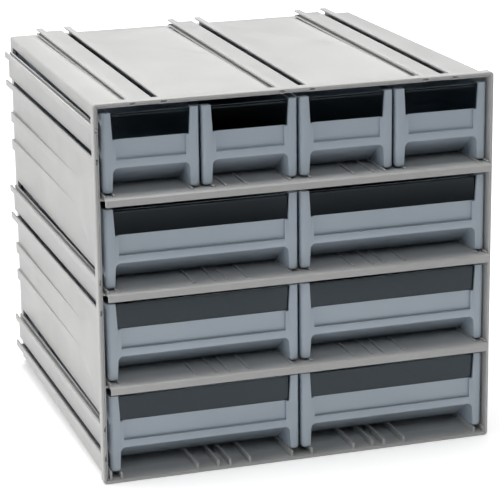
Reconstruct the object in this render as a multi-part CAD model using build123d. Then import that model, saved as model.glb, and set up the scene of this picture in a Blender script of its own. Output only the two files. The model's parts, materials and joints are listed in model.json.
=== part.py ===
from build123d import *

import os

os.makedirs("parts", exist_ok=True)

# Parts bin cabinet. Millimetres, +Z up. X runs across the cabinet and is zero at its middle,
# Z is zero on the table. The pieces are modelled with Y zero on the front face of the rim and
# growing to the back, and leave with Y zero at the middle of the cabinet's depth.

# ---------------------------------------------------------------- driving dimensions
WIDTH = 298.5            # rim, outside
HEIGHT = 279.4           # rim, outside
DEPTH = 289.0            # rim face to back wall, outside
WALL = 2.2               # casing wall and rim thickness
RIM_DEPTH = 7.0          # how far the rim band reaches back
RIM_CORNER = 2.8         # outer corner radius of the rim
RIM_EDGE = 0.6           # softened front edge of the rim
SHOULDER = 1.4           # thickness of the step between rim and inset walls
INSET = 3.7              # left and top walls lie this far inside the rim plane
DRAFT = 2.9              # how far each casing wall leans in over the depth
HULL_EDGE = 2.0          # radius along the casing's long edges

RAIL_STOP = 8.0          # rails end this far before the back
LIP = 1.3                # rail lip thickness
LIP_DROP = 4.6           # straight outer height of a rail lip
GROOVE = 2.6             # open width of the groove behind a lip
GROOVE_DEPTH = 4.0       # groove floor below the lip's tip
LIP_TUCK = 0.3           # the groove's inner face ends this far below the lip's tip
RAIL_SLOT = 2.8          # slot left by the mould's side core above an outer rail
SLOT_INNER = 2.0         # the same above an inner rail
MID_SINK = 2.8           # face of the band between the two rails, inside the rim plane
MID_WALL = 1.4           # its wall
NOTCH_NEAR = 1.2         # the rim's notches start this far inside the rim plane
COLLAR_START = 3.0       # the inset walls reach forward to here inside the rim
COLLAR_SINK = 3.1        # outer face of that edge, inside the rim plane
COLLAR_WALL = 0.9        # its thickness
POCKET_SKIN = 1.1        # the left and top walls are this thin beside the drawer fronts
POCKET_DEPTH = 22.0      # from the rim face to where they are full again
RAIL_PITCH = 22.6        # outer rail to inner rail of a pair
SIDE_TOP = 16.7          # first side rail tip below the top of the rim
SIDE_FOOT = 44.1         # last side rail tip above the foot of the rim
ROOF_LEFT = 26.35        # first roof rail tip from the left of the rim
ROOF_RIGHT = 54.75       # last roof rail tip from the right of the rim
PAIRS = 3
BAND_HEIGHT = 8.0        # flat mating bands between the side pairs
BAND_SINK = 4.4          # their face lies this far inside the rim plane

LEVELS = 4
HEAD_ROOM = 2.6          # free height over the posts of the top drawers
SHELF = 2.0              # shelf plate
GUIDE_TALL = 1.5         # runner ribs on a shelf
GUIDE = 1.6              # thickness of a runner rib
GUIDE_START = 2.0        # front ends of the runner ribs
GUIDE_LINES = (7.75, 40.4, 55.4, 64.4, 80.3)  # runner ribs each side of the middle
GUIDE_LAST = 7.9         # the last runner rib from the side of the cells
CORNER_GUIDE = 0.9       # side guides along the foot of the casing's side walls
CORNER_TALL = (8.9, 6.0)  # their tops, left and right
FLOOR_RIDE = 6.7         # top of the casing's runner ribs
FASCIA_OUT = 4.3         # shelf front stands this far out of the rim
FASCIA_TALL = 5.6        # height of the shelf's front edge
FASCIA_EDGE = 1.0        # bevel on its upper edge
SHELF_RIM = 1.4          # raised rib along each side of a shelf
SHELF_GAP = 0.55         # play of a shelf between the side walls
LEDGE = 1.6              # shelf ledge thickness
LEDGE_WIDE = 4.5         # shelf ledge width from the wall
STOP_AT = 46.0           # spill stop bead, from the rim face
STOP_TALL = 1.2          # spill stop bead height above a shelf
STOP_DEPTH = 2.4         # spill stop bead, front to back

FRONT_SET = 5.0          # drawer fronts lie behind the rim face
FRONT_GAP = 1.9          # gap between neighbouring fronts
CELL_PLAY = 0.2          # play of a row of drawers against each side wall
BACK_GAP = 3.2           # gap behind the drawers
LEVEL_GAP = 11.4         # from the top of a drawer's posts to the drawers above
TUB_LOW = 2.5            # tub walls end this far below the posts
TUB_WALL = 1.6           # tub walls and floor
TUB_SET = 1.5            # tub sides lie inside the front's outline
TUB_DRAFT = 1.9          # tub sides lean in over the length, each side
POST = 7.6               # corner post width
POST_DEPTH = 4.6         # corner post depth
POST_EDGE = 3.2          # rounding of a post's outer front edge
POST_FLARE = 1.2         # posts are this much narrower at the top
FOOT_EDGE = 2.2          # rounding under a post
TUB_EDGE = 2.0           # rounding under the tub's sides
ARCH_TALL = 18.2         # finger opening height
ARCH_RADIUS = 4.0        # finger opening upper corners
ARCH_FLARE = 1.0         # the opening is this much wider at the foot, each side
ARCH_ROOF = 5.0          # level part of the recess's roof, from the front
ARCH_DEPTH = 30.0        # the recess slopes down to the floor here
RAIL_TALL = 5.5          # crossbar over the finger opening
LABEL_TALL = 14.5        # label recess height
LABEL_SINK = 2.3         # label recess depth
LABEL_SLOT = 0.8         # undercut that holds the card, each side
LABEL_LIP = 2.45         # label recess starts this far inside the posts
SKIN = 1.5               # label panel and window pane thickness
PANE_SLOT = 2.6          # the pane reaches this far into each post
PANE_PLAY = 0.3          # pane clearance in the posts
PANE_DROP = 1.0          # the pane's upper edge lies this far below the posts' tops
PANE_BEAD = 1.4          # thicker upper edge of the pane
BEAD_OUT = 0.9           # how far that edge stands forward
STOP_LIP = 12.0          # width of each stop lip under the tub's tail
STOP_LIP_AT = 24.6       # its middle from the side of the cell
STOP_LIP_THICK = 2.0     # front to back
LIFT = 0.3               # running clearance over the stop beads

# ---------------------------------------------------------------- worked out from them
LEFT = -WIDTH / 2
RIGHT = WIDTH / 2
ROOM_LEFT = LEFT + INSET + WALL
ROOM_RIGHT = RIGHT - WALL
ROOM_MID = (ROOM_LEFT + ROOM_RIGHT) / 2
ROOM_HALF = (ROOM_RIGHT - ROOM_LEFT) / 2
HULL_START = RIM_DEPTH - SHOULDER
HULL_LENGTH = DEPTH - HULL_START
WIDE_CELL = ROOM_HALF - CELL_PLAY
NARROW_CELL = WIDE_CELL / 2
DRAWER_ROOM = HEIGHT - INSET - WALL - HEAD_ROOM - FLOOR_RIDE
PITCH = (DRAWER_ROOM + LEVEL_GAP) / LEVELS
DRAWER_TALL = PITCH - LEVEL_GAP
TUB_TALL = DRAWER_TALL - TUB_LOW
RUNNERS = (*GUIDE_LINES, WIDE_CELL - GUIDE_LAST)
SIDE_PITCH = (HEIGHT - SIDE_TOP - SIDE_FOOT) / (PAIRS - 1)
ROOF_PITCH = (WIDTH - ROOF_LEFT - ROOF_RIGHT) / (PAIRS - 1)
LABEL_FOOT = ARCH_TALL + RAIL_TALL
LABEL_TOP = LABEL_FOOT + LABEL_TALL
RAIL_END = DEPTH - RAIL_STOP
TUB_LENGTH = DEPTH - WALL - BACK_GAP - FRONT_SET
MIDDLE = (DEPTH - FASCIA_OUT) / 2
PANE_TALL = DRAWER_TALL - LABEL_TOP - PANE_DROP


def lean(y):
    """How far a drafted casing wall has moved inward at depth y."""
    return DRAFT * (y - HULL_START) / HULL_LENGTH


def box(x0, x1, y0, y1, z0, z1):
    """Axis-aligned block between two corners."""
    block = Box(x1 - x0, y1 - y0, z1 - z0)
    return Pos((x0 + x1) / 2, (y0 + y1) / 2, (z0 + z1) / 2) * block


def plan_wedge(front, back, z0, z1):
    """Block whose plan is a trapezium; front and back are (x0, x1, y)."""
    corners = [(front[0], front[2]), (front[1], front[2]), (back[1], back[2]), (back[0], back[2])]
    return extrude(Plane.XY.offset(z0) * make_face(Polyline(*corners, close=True)), z1 - z0)


def side_wedge(front, back, x0, x1):
    """Block whose side view is a trapezium; front and back are (z0, z1, y)."""
    corners = [(front[2], front[0]), (front[2], front[1]), (back[2], back[1]), (back[2], back[0])]
    return extrude(Plane.YZ.offset(x0) * make_face(Polyline(*corners, close=True)), x1 - x0)


def drafted(x0, x1, z0, z1, y0, y1):
    """Block that follows the casing's draft on all four sides; sizes are those at HULL_START."""
    a = lean(y0)
    b = lean(y1)
    plan = plan_wedge((x0 + a, x1 - a, y0), (x0 + b, x1 - b, y1), z0 - 10, z1 + 10)
    side = side_wedge((z0 + a, z1 - a, y0), (z0 + b, z1 - b, y1), x0 - 10, x1 + 10)
    return plan & side


def long_edges(solid):
    """The edges that run mainly front to back."""
    return [e for e in solid.edges() if abs((e @ 1 - e @ 0).Y) > 0.8 * e.length]


def rail_pair(plane):
    """Both rails of a pair, swept to the back from a section plane at the outer rail's tip.

    The plane's first axis is the distance inward from the rim plane, its second the way the
    rails' lips point.
    """
    riser = LIP + GROOVE
    root = INSET + DRAFT + WALL
    outer = Polyline(
        (0, 0), (0, -LIP_DROP), (INSET, -LIP_DROP - INSET), (root, -LIP_DROP - INSET),
        (root, -GROOVE_DEPTH - WALL), (riser + LIP, -GROOVE_DEPTH - WALL), (riser + LIP, -LIP_TUCK),
        (riser, -LIP_TUCK), (riser, -GROOVE_DEPTH), (LIP, -GROOVE_DEPTH), (LIP, 0), close=True)
    tip = -RAIL_PITCH
    inner = Polyline(
        (0, tip), (0, tip - LIP_DROP), (INSET, tip - LIP_DROP - INSET),
        (root, tip - LIP_DROP - INSET), (root, tip - GROOVE_DEPTH), (LIP, tip - GROOVE_DEPTH),
        (LIP, tip), close=True)
    length = RAIL_END - HULL_START
    rails = [extrude(plane * make_face(line), length, dir=(0, 1, 0)) for line in (outer, inner)]
    return rails[0] + rails[1]


def side_plane(n):
    """Section plane of side pair n: inward is +X, the lips point up."""
    tip = HEIGHT - SIDE_TOP - n * SIDE_PITCH
    return Plane(origin=(LEFT, HULL_START, tip), x_dir=(1, 0, 0), z_dir=(0, -1, 0))


def roof_plane(n):
    """Section plane of roof pair n: inward is down, the lips point left."""
    tip = LEFT + ROOF_LEFT + n * ROOF_PITCH
    return Plane(origin=(tip, HULL_START, HEIGHT), x_dir=(0, 0, -1), z_dir=(0, 1, 0))


def wall_block(plane, near, far, low, high, y0, y1):
    """Block along a rail pair's wall, from depth near to depth far and from low to high."""
    corners = [(near, low), (far, low), (far, high), (near, high)]
    section = Plane(origin=plane.origin + Vector(0, y0 - plane.origin.Y, 0),
                    x_dir=plane.x_dir, z_dir=plane.z_dir)
    return extrude(section * make_face(Polyline(*corners, close=True)), y1 - y0, dir=(0, 1, 0))


def wall_rib(side, reach, start, low, high):
    """Rib along an inner side wall of the casing; side is -1 on the left, 1 on the right."""
    spans = []
    for y in (start, DEPTH - 1):
        wall = ROOM_MID + side * (ROOM_HALF - lean(y))
        spans.append((*sorted((wall + side, wall - side * reach)), y))
    return plan_wedge(spans[0], spans[1], low, high)


def build_casing():
    """Drafted shell with its rim, rails, runner ribs and shelf ledges."""
    hull = drafted(LEFT + INSET, RIGHT, 0, HEIGHT - INSET, HULL_START, DEPTH)
    hull = fillet(long_edges(hull), HULL_EDGE)
    room = drafted(ROOM_LEFT, ROOM_RIGHT, WALL, HEIGHT - INSET - WALL, HULL_START - 1,
                   DEPTH - WALL)
    rim = box(LEFT, RIGHT, 0, RIM_DEPTH, 0, HEIGHT)
    rim = fillet(rim.edges().filter_by(Axis.Y), RIM_CORNER)
    rim = chamfer(rim.faces().sort_by(Axis.Y)[0].edges(), RIM_EDGE)
    mouth = box(LEFT + WALL, RIGHT - WALL, -1, HULL_START, WALL, HEIGHT - WALL)
    collar = box(LEFT + COLLAR_SINK, RIGHT - WALL, COLLAR_START, HULL_START, WALL,
                 HEIGHT - COLLAR_SINK)
    collar_in = COLLAR_SINK + COLLAR_WALL
    collar_room = box(LEFT + collar_in, RIGHT, -1, HULL_START, 0, HEIGHT - collar_in)
    shell = hull + (rim - mouth) + (collar - collar_room)
    pocket_in = INSET + POCKET_SKIN
    pocket = box(LEFT + pocket_in, RIGHT - WALL, HULL_START - 1, POCKET_DEPTH, WALL,
                 HEIGHT - pocket_in)

    # Raised bands between the two rails of a pair, with the slots and grooves beside them.
    notches = []
    slots = []
    channels = []
    rails = []
    band_low = -RAIL_PITCH + SLOT_INNER
    band_high = -GROOVE_DEPTH
    deep = INSET + DRAFT + WALL
    for n in range(PAIRS):
        for plane, open_side in ((side_plane(n), True), (roof_plane(n), False)):
            rails.append(rail_pair(plane))
            shell = shell + wall_block(plane, MID_SINK, deep, band_low, band_high,
                                       HULL_START, RAIL_END)
            channels.append(wall_block(plane, MID_SINK + MID_WALL, deep, -RAIL_PITCH,
                                       band_high - MID_WALL, -1, RAIL_END))
            if open_side:
                slots.append(wall_block(plane, -1, deep + 1, -GROOVE_DEPTH, RAIL_SLOT,
                                        RIM_DEPTH, RAIL_END))
            slots.append(wall_block(plane, -1, deep + 1, -RAIL_PITCH - GROOVE_DEPTH, band_low,
                                    RIM_DEPTH, RAIL_END))
            for tip in (0, -RAIL_PITCH):
                notches.append(wall_block(plane, NOTCH_NEAR, INSET + WALL, tip - GROOVE_DEPTH,
                                          tip, -1, HULL_START))
                notches.append(wall_block(plane, LIP, LIP + GROOVE, tip - GROOVE_DEPTH, tip,
                                          HULL_START, RAIL_END))

    # Flat mating bands between the side pairs, flush where the wall starts and proud at the back.
    for n in range(PAIRS - 1):
        middle = HEIGHT - SIDE_TOP - RAIL_PITCH / 2 - (n + 0.5) * SIDE_PITCH
        for side in (-1, 1):
            z = middle + side * RAIL_PITCH / 2
            shell = shell + box(LEFT + BAND_SINK, LEFT + deep, RIM_DEPTH, DEPTH - 1,
                                z - BAND_HEIGHT / 2, z + BAND_HEIGHT / 2)

    # Level mating strips under the floor and on the right: the casing stands on them.
    for n in range(PAIRS):
        x = LEFT + ROOF_LEFT + n * ROOF_PITCH
        z = HEIGHT - SIDE_TOP - n * SIDE_PITCH
        for shift in (0, RAIL_PITCH):
            shell = shell + box(x + shift, x + shift + LIP_DROP, RIM_DEPTH, RAIL_END, 0,
                                WALL + DRAFT)
            shell = shell + box(RIGHT - WALL - DRAFT, RIGHT, RIM_DEPTH, RAIL_END,
                                z - shift - LIP_DROP, z - shift)

    shell = shell - slots
    shell = shell + rails
    shell = shell - ([room, pocket] + channels + notches)

    inside = []
    for offset in RUNNERS:
        for side in (-1, 1):
            x = ROOM_MID + side * offset
            inside.append(box(x - GUIDE / 2, x + GUIDE / 2, GUIDE_START, DEPTH - 1, 1, FLOOR_RIDE))
    inside.append(box(ROOM_LEFT, ROOM_RIGHT, STOP_AT, STOP_AT + STOP_DEPTH, 1,
                      FLOOR_RIDE - LIFT))
    for side, tall in zip((-1, 1), CORNER_TALL):
        inside.append(wall_rib(side, CORNER_GUIDE, GUIDE_START, 1, tall))
        for level in range(1, LEVELS):
            under = shelf_top(level) - SHELF
            inside.append(wall_rib(side, LEDGE_WIDE, RIM_DEPTH, under - LEDGE, under))
    keep = drafted(ROOM_LEFT - 0.8, ROOM_RIGHT + 0.8, 1, HEIGHT, 0, DEPTH - 1)
    for piece in inside:
        shell = shell + (piece & keep)
    return shell


def shelf_top(level):
    """Height of a shelf plate's upper face; level 1 is the lowest shelf."""
    return FLOOR_RIDE + level * PITCH - GUIDE_TALL


def ride(level):
    """Height at which the drawers of a level run."""
    return FLOOR_RIDE + level * PITCH


def build_shelf(level):
    """Shelf plate with front edge, runner ribs and the spill stop bead."""
    top = shelf_top(level)
    back = DEPTH - WALL - 1.0
    half = ROOM_HALF - SHELF_GAP
    x0 = ROOM_MID - half
    x1 = ROOM_MID + half
    tail = lean(back)
    plate = plan_wedge((x0, x1, HULL_START), (x0 + tail, x1 - tail, back), top - SHELF, top)
    plate = plate + box(x0, x1, -FASCIA_OUT, HULL_START, top - SHELF, top)
    fascia = box(x0, x1, -FASCIA_OUT, -FASCIA_OUT + SHELF, top - FASCIA_TALL, top)
    shelf = plate + fascia
    edge = shelf.edges().filter_by(Axis.X).sort_by(Axis.Y)[0:2].sort_by(Axis.Z)[-1]
    shelf = chamfer(edge, FASCIA_EDGE)
    for offset in RUNNERS:
        for side in (-1, 1):
            x = ROOM_MID + side * offset
            shelf = shelf + box(x - GUIDE / 2, x + GUIDE / 2, GUIDE_START, back - 1, top - 1,
                                top + GUIDE_TALL)
    for side in (-1, 1):
        spans = []
        for edge_x, y in ((half, GUIDE_START - SHELF), (half - tail, back)):
            spans.append((*sorted((ROOM_MID + side * edge_x,
                                   ROOM_MID + side * (edge_x - SHELF_RIM))), y))
        shelf = shelf + plan_wedge(spans[0], spans[1], top - 1, top + GUIDE_TALL)
    bead = box(x0 + 1, x1 - 1, STOP_AT, STOP_AT + STOP_DEPTH, top - 1, top + GUIDE_TALL - LIFT)
    return shelf + bead


def arch_block(half, depth, wall):
    """Space of the finger recess, grown by wall on its inner sides."""
    foot = half + ARCH_FLARE + wall
    head = half + wall
    top = ARCH_TALL + wall
    outline = Polyline((-foot, -1), (-head, top), (head, top), (foot, -1), close=True)
    plane = Plane(origin=(0, -1, 0), x_dir=(1, 0, 0), z_dir=(0, -1, 0))
    tunnel = extrude(plane * make_face(outline), depth + 2, dir=(0, 1, 0))
    upper = tunnel.edges().filter_by(Axis.Y).sort_by(Axis.Z)[2:4]
    tunnel = fillet(upper, ARCH_RADIUS + wall)
    slope = Polyline((-1, -1), (-1, top + 1), (ARCH_ROOF, top + 1), (ARCH_ROOF, top),
                     (depth, 0), (depth, -1), close=True)
    return tunnel & extrude(Plane.YZ.offset(-foot - 1) * make_face(slope), 2 * foot + 2)


def build_drawer(cell):
    """Drawer with its front at y = 0, standing on z = 0 and centred on x = 0."""
    half = (cell - FRONT_GAP) / 2
    arch = half - POST
    finger = arch_block(arch, ARCH_DEPTH, 0)
    front = box(-half, half, 0, POST_DEPTH, 0, DRAWER_TALL)
    verticals = front.edges().filter_by(Axis.Z).sort_by(Axis.Y)[0:2]
    front = fillet(verticals, POST_EDGE) - finger
    feet = front.edges().filter_by(Axis.Y).sort_by(Axis.Z)[0:4]
    front = fillet(feet, FOOT_EDGE)
    tub_half = half - TUB_SET
    tub = plan_wedge((-tub_half, tub_half, POST_DEPTH - 1), (-tub_half + TUB_DRAFT,
                     tub_half - TUB_DRAFT, TUB_LENGTH), 0, TUB_TALL)
    tub = fillet([e for e in long_edges(tub) if (e @ 0).Z < 1], TUB_EDGE)
    low_front = box(-half, half, 0, POST_DEPTH, -1, LABEL_FOOT)
    drawer = front + (tub - low_front - finger)

    inner = tub_half - TUB_WALL
    panel = LABEL_SINK + SKIN
    hollow = plan_wedge((-inner, inner, panel), (-inner + TUB_DRAFT, inner - TUB_DRAFT,
                        TUB_LENGTH - TUB_WALL), TUB_WALL, DRAWER_TALL + 5)
    posts = box(-half, half, 0, POST_DEPTH, 0, DRAWER_TALL + 6)
    gap = box(-arch, arch, -1, POST_DEPTH + 1, TUB_WALL, DRAWER_TALL + 7)
    recess_shell = arch_block(arch, ARCH_DEPTH + TUB_WALL, TUB_WALL)
    drawer = drawer - (hollow - (posts - gap) - recess_shell)

    inset = arch - LABEL_LIP
    label = box(-inset, inset, -1, LABEL_SINK, LABEL_FOOT, LABEL_TOP + 1)
    card = box(-inset - LABEL_SLOT, inset + LABEL_SLOT, LABEL_SINK - LABEL_SLOT, LABEL_SINK,
               LABEL_FOOT, LABEL_TOP + 1)
    high = DRAWER_TALL + 1
    outline = Polyline((-arch, LABEL_TOP), (-arch - POST_FLARE, high), (arch + POST_FLARE, high),
                       (arch, LABEL_TOP), close=True)
    plane = Plane(origin=(0, -1, 0), x_dir=(1, 0, 0), z_dir=(0, -1, 0))
    window = extrude(plane * make_face(outline), POST_DEPTH + 2, dir=(0, 1, 0))
    groove = box(-arch - PANE_SLOT, arch + PANE_SLOT, LABEL_SINK - PANE_PLAY,
                 panel + PANE_PLAY, LABEL_TOP, high)
    drawer = drawer - [label, card, window, groove]

    for side in (-1, 1):
        middle = side * (cell / 2 - STOP_LIP_AT)
        drawer = drawer + box(middle - STOP_LIP / 2, middle + STOP_LIP / 2,
                              TUB_LENGTH - STOP_LIP_THICK, TUB_LENGTH, -STOP_TALL + LIFT, TUB_WALL)
    return drawer


def build_window(cell):
    """Clear pane that drops into the posts of a drawer built by build_drawer."""
    half = (cell - FRONT_GAP) / 2 - POST
    reach = half + PANE_SLOT - PANE_PLAY
    pane = box(-reach, reach, LABEL_SINK, LABEL_SINK + SKIN, LABEL_TOP, LABEL_TOP + PANE_TALL)
    bead = box(-half + PANE_PLAY, half - PANE_PLAY, LABEL_SINK - BEAD_OUT, LABEL_SINK + SKIN,
               LABEL_TOP + PANE_TALL - PANE_BEAD, LABEL_TOP + PANE_TALL)
    return pane + bead


def write(shape, node, x=0.0, y=0.0, z=0.0):
    """Move a piece to its place and write it, with the cabinet's depth centred on Y."""
    export_step(Pos(x, y - MIDDLE, z) * shape, f"parts/{node}.step")


def main():
    """Build every piece and write one STEP file per node."""
    write(build_casing(), "casing")
    for level in range(1, LEVELS):
        write(build_shelf(level), f"shelf_{level}")
    rows = [(LEVELS - 1, NARROW_CELL)] + [(level, WIDE_CELL) for level in range(LEVELS - 1)]
    for level, cell in rows:
        row = LEVELS - level
        drawer = build_drawer(cell)
        window = build_window(cell)
        for n in range(round(2 * WIDE_CELL / cell)):
            x = ROOM_MID + (n + 0.5) * cell - WIDE_CELL
            write(drawer, f"drawer_r{row}_c{n + 1}", x, FRONT_SET, ride(level))
            write(window, f"window_r{row}_c{n + 1}", x, FRONT_SET, ride(level))


main()
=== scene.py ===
"""Dresses the parts bin cabinet: moulded casing and shelves, grey drawers, clear windows.

Lengths whose names end in mm are millimetres, all others are metres.
"""

import json
import logging
import math
from dataclasses import dataclass
from enum import Enum
from typing import Optional, Sequence

import bmesh
import bpy
import numpy as np
from mathutils import Matrix, Vector

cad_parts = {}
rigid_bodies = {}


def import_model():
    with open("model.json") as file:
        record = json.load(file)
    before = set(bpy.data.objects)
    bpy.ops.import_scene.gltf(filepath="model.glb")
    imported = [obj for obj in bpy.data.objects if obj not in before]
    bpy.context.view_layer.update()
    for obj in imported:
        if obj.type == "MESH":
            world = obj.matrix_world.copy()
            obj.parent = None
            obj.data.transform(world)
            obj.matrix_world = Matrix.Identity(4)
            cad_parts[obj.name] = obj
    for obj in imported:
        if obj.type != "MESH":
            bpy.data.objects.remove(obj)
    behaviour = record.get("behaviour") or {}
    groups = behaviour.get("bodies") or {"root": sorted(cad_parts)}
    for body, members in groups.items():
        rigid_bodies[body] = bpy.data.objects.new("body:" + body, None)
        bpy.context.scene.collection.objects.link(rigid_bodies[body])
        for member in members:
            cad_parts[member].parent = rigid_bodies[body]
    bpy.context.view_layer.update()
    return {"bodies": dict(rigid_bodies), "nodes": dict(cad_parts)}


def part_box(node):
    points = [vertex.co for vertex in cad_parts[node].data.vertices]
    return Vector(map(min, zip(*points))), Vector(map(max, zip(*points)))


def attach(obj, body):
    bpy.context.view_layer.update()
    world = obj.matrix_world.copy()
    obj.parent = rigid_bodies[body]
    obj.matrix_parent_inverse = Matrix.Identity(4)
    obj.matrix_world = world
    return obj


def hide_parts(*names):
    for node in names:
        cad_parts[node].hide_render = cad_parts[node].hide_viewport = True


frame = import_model()

MM = 0.001

logging.basicConfig(level=logging.INFO, format="%(name)s: %(message)s")
log = logging.getLogger("bin_cabinet")


class Slot(Enum):
    """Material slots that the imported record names."""

    CASING = "casing_plastic"
    DRAWER = "drawer_plastic"
    PANE = "clear_pane"


def linear(hex_colour: str) -> tuple[float, float, float, float]:
    """Turns an sRGB hex colour into linear RGBA.

    Args:
        hex_colour: Colour written as #rrggbb.

    Returns:
        Linear red, green, blue and an alpha of one.
    """
    values = [int(hex_colour[i:i + 2], 16) / 255 for i in (1, 3, 5)]
    bent = [v / 12.92 if v <= 0.04045 else ((v + 0.055) / 1.055) ** 2.4 for v in values]
    return (bent[0], bent[1], bent[2], 1.0)


def add_node(tree: bpy.types.NodeTree, kind: str, settings: Optional[dict] = None,
             links: Optional[dict] = None) -> bpy.types.Node:
    """Adds one node with its settings and its incoming links.

    Args:
        tree: Node tree that receives the node.
        kind: Blender's node type name.
        settings: Attribute names, or socket names or numbers, with their values.
        links: Input socket name or number with the output socket that feeds it.

    Returns:
        The new node.
    """
    node = tree.nodes.new(kind)
    for key, value in (settings or {}).items():
        if isinstance(key, int) or key in node.inputs:
            node.inputs[key].default_value = value
        else:
            setattr(node, key, value)
    for key, socket in (links or {}).items():
        tree.links.new(socket, node.inputs[key])
    return node


def new_material(name: str) -> tuple[bpy.types.Material, bpy.types.NodeTree]:
    """Starts an empty node material.

    Args:
        name: Material name.

    Returns:
        The material and its cleared node tree.
    """
    material = bpy.data.materials.new(name)
    material.use_nodes = True
    material.node_tree.nodes.clear()
    return material, material.node_tree


@dataclass(frozen=True)
class MouldedStyrene:
    """Injection-moulded high-impact polystyrene with a fine spark-eroded texture.

    The texture scatters the highlight into a broad soft sheen. Faint flow clouding from the
    melt shifts the shade by a few percent over a hand's width, and handling has rubbed the
    grain a little glossier in patches.
    """

    name: str
    base: str
    flow: str
    roughness: float = 0.46
    # Spark-eroded grain is about 0.1 mm wide. It is drawn coarser, so that it shows.
    grain_mm: float = 0.55
    grain_depth_mm: float = 0.012
    flow_mm: float = 90.0
    # Patches as wide as a fingertip or two.
    rub_mm: float = 26.0
    rubbed: float = 0.05
    unrubbed: float = 0.06

    def build(self) -> bpy.types.Material:
        """Makes the material on Object coordinates.

        Returns:
            The finished material.
        """
        material, tree = new_material(self.name)
        place = add_node(tree, "ShaderNodeTexCoord").outputs["Object"]
        cloud = add_node(tree, "ShaderNodeTexNoise",
                         {"Scale": 1 / (self.flow_mm * MM), "Detail": 2.0, "Roughness": 0.45},
                         {"Vector": place})
        shade = add_node(tree, "ShaderNodeMapRange",
                         {"From Min": 0.32, "From Max": 0.68}, {"Value": cloud.outputs["Fac"]})
        colour = add_node(tree, "ShaderNodeMix",
                          {"data_type": "RGBA", 6: linear(self.base), 7: linear(self.flow)},
                          {0: shade.outputs["Result"]})
        rub = add_node(tree, "ShaderNodeTexNoise",
                       {"Scale": 1 / (self.rub_mm * MM), "Detail": 3.0}, {"Vector": place})
        gloss = add_node(tree, "ShaderNodeMapRange",
                         {"From Min": 0.3, "From Max": 0.7, "To Min": self.roughness - self.rubbed,
                          "To Max": self.roughness + self.unrubbed},
                         {"Value": rub.outputs["Fac"]})
        grain = add_node(tree, "ShaderNodeTexNoise",
                         {"Scale": 1 / (self.grain_mm * MM), "Detail": 1.0, "Roughness": 0.5},
                         {"Vector": place})
        bump = add_node(tree, "ShaderNodeBump",
                        {"Strength": 0.35, "Distance": self.grain_depth_mm * MM},
                        {"Height": grain.outputs["Fac"]})
        plastic = add_node(tree, "ShaderNodeBsdfPrincipled", {"IOR": 1.59},
                           {"Base Color": colour.outputs[2], "Roughness": gloss.outputs["Result"],
                            "Normal": bump.outputs["Normal"]})
        add_node(tree, "ShaderNodeOutputMaterial", links={"Surface": plastic.outputs["BSDF"]})
        return material


@dataclass(frozen=True)
class ClearStyrene:
    """Clear polystyrene moulded against polished steel.

    It is glossy and mirrors the table before the cabinet, with a faint smoke tint and the slow
    ripple of a thin moulded pane.
    """

    name: str = "clear polystyrene, polished mould"
    tint: str = "#7d8890"
    sheen: str = "#dcebf5"
    roughness: float = 0.04
    ior: float = 1.5
    ripple_mm: float = 45.0
    ripple_depth_mm: float = 0.05

    def build(self) -> bpy.types.Material:
        """Makes the material on Object coordinates.

        Returns:
            The finished material.
        """
        material, tree = new_material(self.name)
        place = add_node(tree, "ShaderNodeTexCoord").outputs["Object"]
        ripple = add_node(tree, "ShaderNodeTexNoise",
                          {"Scale": 1 / (self.ripple_mm * MM), "Detail": 0.0}, {"Vector": place})
        bump = add_node(tree, "ShaderNodeBump",
                        {"Strength": 0.2, "Distance": self.ripple_depth_mm * MM},
                        {"Height": ripple.outputs["Fac"]})
        pane = add_node(tree, "ShaderNodeBsdfPrincipled",
                        {"Base Color": linear(self.tint), "Roughness": self.roughness,
                         "IOR": self.ior, "Transmission Weight": 1.0,
                         "Specular Tint": linear(self.sheen)},
                        {"Normal": bump.outputs["Normal"]})
        add_node(tree, "ShaderNodeOutputMaterial", links={"Surface": pane.outputs["BSDF"]})
        return material


@dataclass
class Moulding:
    """One moulded piece taken from its CAD node, with the mould's small edge radii added."""

    node: str
    body: str
    slot: Slot
    material: bpy.types.Material
    edge_mm: float = 0.35
    segments: int = 2
    sharp_degrees: float = 28.0
    smooth_degrees: float = 30.0
    flat_degrees: float = 0.04
    weld_mm: float = 0.0005

    def build(self) -> bpy.types.Object:
        """Copies the node, pairs its level facets and rounds the sharp edges.

        Returns:
            The finished piece, riding on its body and standing for the node.
        """
        source = frame["nodes"][self.node]
        mesh = source.data.copy()
        mesh.name = f"{self.node}_moulded"
        self._join_facets(mesh)
        piece = bpy.data.objects.new(f"{self.node}_moulded", mesh)
        bpy.context.scene.collection.objects.link(piece)
        mesh.materials.clear()
        mesh.materials.append(self.material)
        bevel = piece.modifiers.new("mould edge radius", "BEVEL")
        bevel.width = self.edge_mm * MM
        bevel.segments = self.segments
        bevel.limit_method = "ANGLE"
        bevel.angle_limit = math.radians(self.sharp_degrees)
        bevel.use_clamp_overlap = True
        bevel.miter_outer = "MITER_ARC"
        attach(piece, self.body)
        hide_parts(self.node)
        log.info("%s moulded, %d faces", self.node, len(mesh.polygons))
        return piece

    def _join_facets(self, mesh: bpy.types.Mesh) -> None:
        """Welds the loose triangles, pairs the level ones and marks the sharp edges.

        Args:
            mesh: Copy of the node's mesh, changed in place.
        """
        work = bmesh.new()
        work.from_mesh(mesh)
        bmesh.ops.remove_doubles(work, verts=work.verts, dist=self.weld_mm * MM)
        bmesh.ops.join_triangles(work, faces=work.faces,
                                 angle_face_threshold=math.radians(self.flat_degrees),
                                 angle_shape_threshold=math.pi)
        work.to_mesh(mesh)
        work.free()
        mesh.polygons.foreach_set("use_smooth", np.ones(len(mesh.polygons), dtype=bool))
        mesh.set_sharp_from_angle(angle=math.radians(self.smooth_degrees))
        mesh.update()


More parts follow.
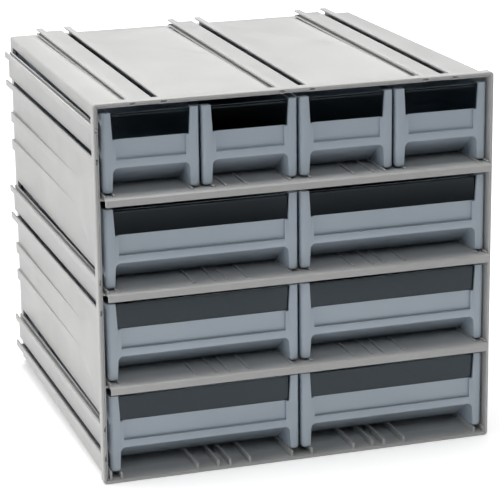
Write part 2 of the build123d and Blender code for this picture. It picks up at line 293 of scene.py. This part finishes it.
@dataclass
class GateMark:
    """Witness left where the melt entered the mould: a shallow dish with a nub in it.

    The surface is r times (cos a, sin a) around the axis, at the height that the profile of
    radius and height gives from the tip of the nub over the dish to the rim.
    """

    name: str
    body: str
    slot: Slot
    material: bpy.types.Material
    centre: Vector
    normal: Vector
    profile_mm: tuple[tuple[float, float], ...] = (
        (0.0, 0.42), (0.35, 0.40), (0.8, 0.26), (1.1, 0.06), (2.4, 0.05), (3.4, 0.22),
        (4.2, -0.05))
    steps: int = 40

    def build(self) -> bpy.types.Object:
        """Turns the profile around the axis and seats it on the wall.

        Returns:
            The finished mark, riding on its body.
        """
        radii, lift = np.array(self.profile_mm).T * MM
        turn = np.linspace(0.0, 2 * math.pi, self.steps, endpoint=False)
        side = self.normal.orthogonal().normalized()
        other = self.normal.cross(side)
        ring = (np.outer(np.cos(turn), np.array(side)) + np.outer(np.sin(turn), np.array(other)))
        grid = (np.array(self.centre) + radii[1:, None, None] * ring[None]
                + lift[1:, None, None] * np.array(self.normal))
        tip = np.array(self.centre) + lift[0] * np.array(self.normal)
        points = np.vstack([tip[None], grid.reshape(-1, 3)])
        rows = len(radii) - 1
        index = 1 + np.arange(rows * self.steps).reshape(rows, self.steps)
        after = np.roll(index, -1, axis=1)
        quads = np.stack([index[:-1], index[1:], after[1:], after[:-1]], axis=-1).reshape(-1, 4)
        fan = np.stack([np.zeros(self.steps, dtype=int), index[0], after[0]], axis=-1)
        mesh = bpy.data.meshes.new(self.name)
        mesh.from_pydata(points.tolist(), [], fan.tolist() + quads.tolist())
        mesh.polygons.foreach_set("use_smooth", np.ones(len(mesh.polygons), dtype=bool))
        mesh.materials.append(self.material)
        mesh.update()
        mark = bpy.data.objects.new(self.name, mesh)
        bpy.context.scene.collection.objects.link(mark)
        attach(mark, self.body)
        return mark


@dataclass
class Cabinet:
    """Casing and the shelves pushed into it."""

    material: bpy.types.Material
    body: str = "cabinet"
    nodes: Sequence[str] = ("casing", "shelf_1", "shelf_2", "shelf_3")
    gates: Sequence[float] = (0.3, 0.7)

    def build(self) -> list[bpy.types.Object]:
        """Builds the casing with the gate marks on its back, and each shelf.

        Returns:
            The four mouldings and the gate marks.
        """
        pieces = [Moulding(node, self.body, Slot.CASING, self.material).build()
                  for node in self.nodes]
        low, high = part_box("casing")
        back = Vector((0.0, 1.0, 0.0))
        for number, across in enumerate(self.gates, start=1):
            place = Vector((low.x + across * (high.x - low.x), high.y, (low.z + high.z) / 2))
            pieces.append(GateMark(f"gate_mark_back_{number}", self.body, Slot.CASING,
                                   self.material, place, back).build())
        return pieces


@dataclass
class Drawer:
    """One drawer with its clear window."""

    body: str
    plastic: bpy.types.Material
    clear: bpy.types.Material
    pane_edge_mm: float = 0.2

    def build(self) -> list[bpy.types.Object]:
        """Builds the drawer and its window.

        Returns:
            The two mouldings.
        """
        window = self.body.replace("drawer", "window")
        return [Moulding(self.body, self.body, Slot.DRAWER, self.plastic).build(),
                Moulding(window, self.body, Slot.PANE, self.clear,
                         edge_mm=self.pane_edge_mm).build()]


@dataclass(frozen=True)
class Lamp:
    """One soft area lamp aimed at the middle of the cabinet."""

    name: str
    place: tuple[float, float, float]
    size: tuple[float, float]
    watts: float

    def build(self, target: Vector) -> bpy.types.Object:
        """Places the lamp and aims it.

        Args:
            target: Point that the lamp faces.

        Returns:
            The lamp's object.
        """
        data = bpy.data.lights.new(self.name, "AREA")
        data.shape = "RECTANGLE"
        data.size, data.size_y = self.size
        data.energy = self.watts
        lamp = bpy.data.objects.new(self.name, data)
        bpy.context.scene.collection.objects.link(lamp)
        lamp.location = self.place
        lamp.rotation_euler = (target - Vector(self.place)).to_track_quat("-Z", "Y").to_euler()
        return lamp


@dataclass
class Studio:
    """Pale floor, soft lamps and a camera with the photograph's framing."""

    image_px: float = 500.0
    near_clip: float = 0.05
    sensor_mm: float = 36.0
    focal_px: float = 2343.3
    place_mm: tuple[float, float, float] = (-529.9, -1663.7, 633.2)
    forward: tuple[float, float, float] = (0.295615, 0.912923, -0.281394)
    right: tuple[float, float, float] = (0.950282, -0.311187, -0.011271)
    world_strength: float = 0.03
    board_colour: str = "#e6e6e6"
    board_half: float = 7.0
    # Glow of the board towards the camera, under the cabinet and past the lamps' reach.
    glow: tuple[float, float] = (0.45, 1.0)
    glow_reach: tuple[float, float] = (0.5, 1.3)
    # Painted pool of light for the windows' painted reflection: glossy rays see the board glow dim
    # at the first of these places and bright at the second.
    painted_pool_reach: tuple[float, float] = (-1.15, -0.52)
    painted_pool_fall: float = 3.5
    painted_pool_strength: float = 1.3
    target: tuple[float, float, float] = (0.0, 0.0, 0.14)
    lamps: tuple[Lamp, ...] = (
        Lamp("overhead", (-0.1, 0.15, 2.1), (1.5, 1.5), 56.0),
        Lamp("left, low", (-2.0, 0.1, 0.45), (1.6, 0.8), 13.0),
        Lamp("front, high", (-0.2, -1.75, 1.75), (1.5, 0.8), 6.5))

    def build(self) -> None:
        """Builds the floor, lamps, world and camera."""
        self._floor()
        self._world()
        for lamp in self.lamps:
            lamp.build(Vector(self.target))
        self._camera()

    def _floor(self) -> None:
        """Lays a square floor that is white to the camera and still takes the shadow."""
        corners = np.array([(-1, -1, 0), (1, -1, 0), (1, 1, 0), (-1, 1, 0)], dtype=float)
        mesh = bpy.data.meshes.new("studio floor")
        mesh.from_pydata((corners * self.board_half).tolist(), [], [(0, 1, 2, 3)])
        mesh.materials.append(self._board())
        floor = bpy.data.objects.new("studio_floor", mesh)
        bpy.context.scene.collection.objects.link(floor)

    def _board(self) -> bpy.types.Material:
        """Makes the floor's board, which glows to the camera and shows glossy rays a painted pool
        of light, the painted reflection in the windows.

        Returns:
            The finished material.
        """
        material, tree = new_material("matt white board")
        rays = add_node(tree, "ShaderNodeLightPath")
        board = add_node(tree, "ShaderNodeBsdfDiffuse", {"Color": linear(self.board_colour)})
        place = add_node(tree, "ShaderNodeNewGeometry").outputs["Position"]
        away = add_node(tree, "ShaderNodeVectorMath", {"operation": "LENGTH"}, {0: place})
        fill = add_node(tree, "ShaderNodeMapRange",
                        {"From Min": self.glow_reach[0], "From Max": self.glow_reach[1],
                         "To Min": self.glow[0], "To Max": self.glow[1]},
                        {"Value": away.outputs["Value"]})
        glow = add_node(tree, "ShaderNodeEmission", {"Color": (1, 1, 1, 1)},
                        {"Strength": fill.outputs["Result"]})
        both = add_node(tree, "ShaderNodeAddShader",
                        links={0: board.outputs[0], 1: glow.outputs[0]})
        axes = add_node(tree, "ShaderNodeSeparateXYZ", links={0: place})
        # Painted pool of light: a glow that only glossy rays see, brightest towards the cabinet's
        # front, so the windows show it as a painted reflection.
        near = add_node(tree, "ShaderNodeMapRange",
                        {"From Min": self.painted_pool_reach[0], "From Max": self.painted_pool_reach[1]},
                        {"Value": axes.outputs["Y"]})
        painted_pool = add_node(tree, "ShaderNodeMath", {"operation": "POWER", 1: self.painted_pool_fall},
                        {0: near.outputs["Result"]})
        level = add_node(tree, "ShaderNodeMath", {"operation": "MULTIPLY", 1: self.painted_pool_strength},
                         {0: painted_pool.outputs[0]})
        painted_reflection = add_node(tree, "ShaderNodeEmission", {"Color": (1, 1, 1, 1)},
                            {"Strength": level.outputs[0]})
        seen = add_node(tree, "ShaderNodeMath", {"operation": "MAXIMUM"},
                        {0: rays.outputs["Is Camera Ray"], 1: rays.outputs["Is Transmission Ray"]})
        pick = add_node(tree, "ShaderNodeMixShader",
                        links={0: seen.outputs[0], 1: board.outputs[0], 2: both.outputs[0]})
        # Glossy rays see the painted reflection glow instead of the board.
        last = add_node(tree, "ShaderNodeMixShader",
                        links={0: rays.outputs["Is Glossy Ray"], 1: pick.outputs[0],
                               2: painted_reflection.outputs[0]})
        add_node(tree, "ShaderNodeOutputMaterial", links={"Surface": last.outputs[0]})
        return material

    def _world(self) -> None:
        """Even pale surroundings, white where the camera sees them."""
        world = bpy.data.worlds.new("pale room")
        bpy.context.scene.world = world
        world.use_nodes = True
        tree = world.node_tree
        tree.nodes.clear()
        rays = add_node(tree, "ShaderNodeLightPath")
        light = add_node(tree, "ShaderNodeBackground",
                         {"Color": (1, 1, 1, 1), "Strength": self.world_strength})
        white = add_node(tree, "ShaderNodeBackground", {"Color": (1, 1, 1, 1), "Strength": 1.0})
        pick = add_node(tree, "ShaderNodeMixShader",
                        links={0: rays.outputs["Is Camera Ray"], 1: light.outputs[0],
                               2: white.outputs[0]})
        add_node(tree, "ShaderNodeOutputWorld", links={"Surface": pick.outputs[0]})

    def _camera(self) -> None:
        """Sets the camera from the lens position and the two view axes, without a shift."""
        data = bpy.data.cameras.new("photograph")
        data.sensor_width = self.sensor_mm
        data.lens = self.sensor_mm * self.focal_px / self.image_px
        data.clip_start = self.near_clip
        camera = bpy.data.objects.new("photograph", data)
        bpy.context.scene.collection.objects.link(camera)
        forward = Vector(self.forward).normalized()
        right = Vector(self.right).normalized()
        up = right.cross(forward)
        turn = Matrix((right, up, -forward)).transposed().to_4x4()
        camera.matrix_world = Matrix.Translation(Vector(self.place_mm) * MM) @ turn
        bpy.context.scene.camera = camera


def main() -> None:
    """Builds the cabinet, its drawers and the studio, in that order."""
    casing = MouldedStyrene("impact polystyrene, light grey", "#c2c2c1", "#c6c6c5").build()
    drawer = MouldedStyrene("impact polystyrene, blue grey", "#bac7d3", "#bfcbd7",
                            roughness=0.42).build()
    clear = ClearStyrene().build()
    Cabinet(casing).build()
    for body in sorted(frame["bodies"]):
        if body.startswith("drawer"):
            Drawer(body, drawer, clear).build()
    Studio().build()
    scene = bpy.context.scene
    scene.view_settings.view_transform = "Standard"
    log.info("parts bin cabinet dressed")


if __name__ == "__main__":
    main()
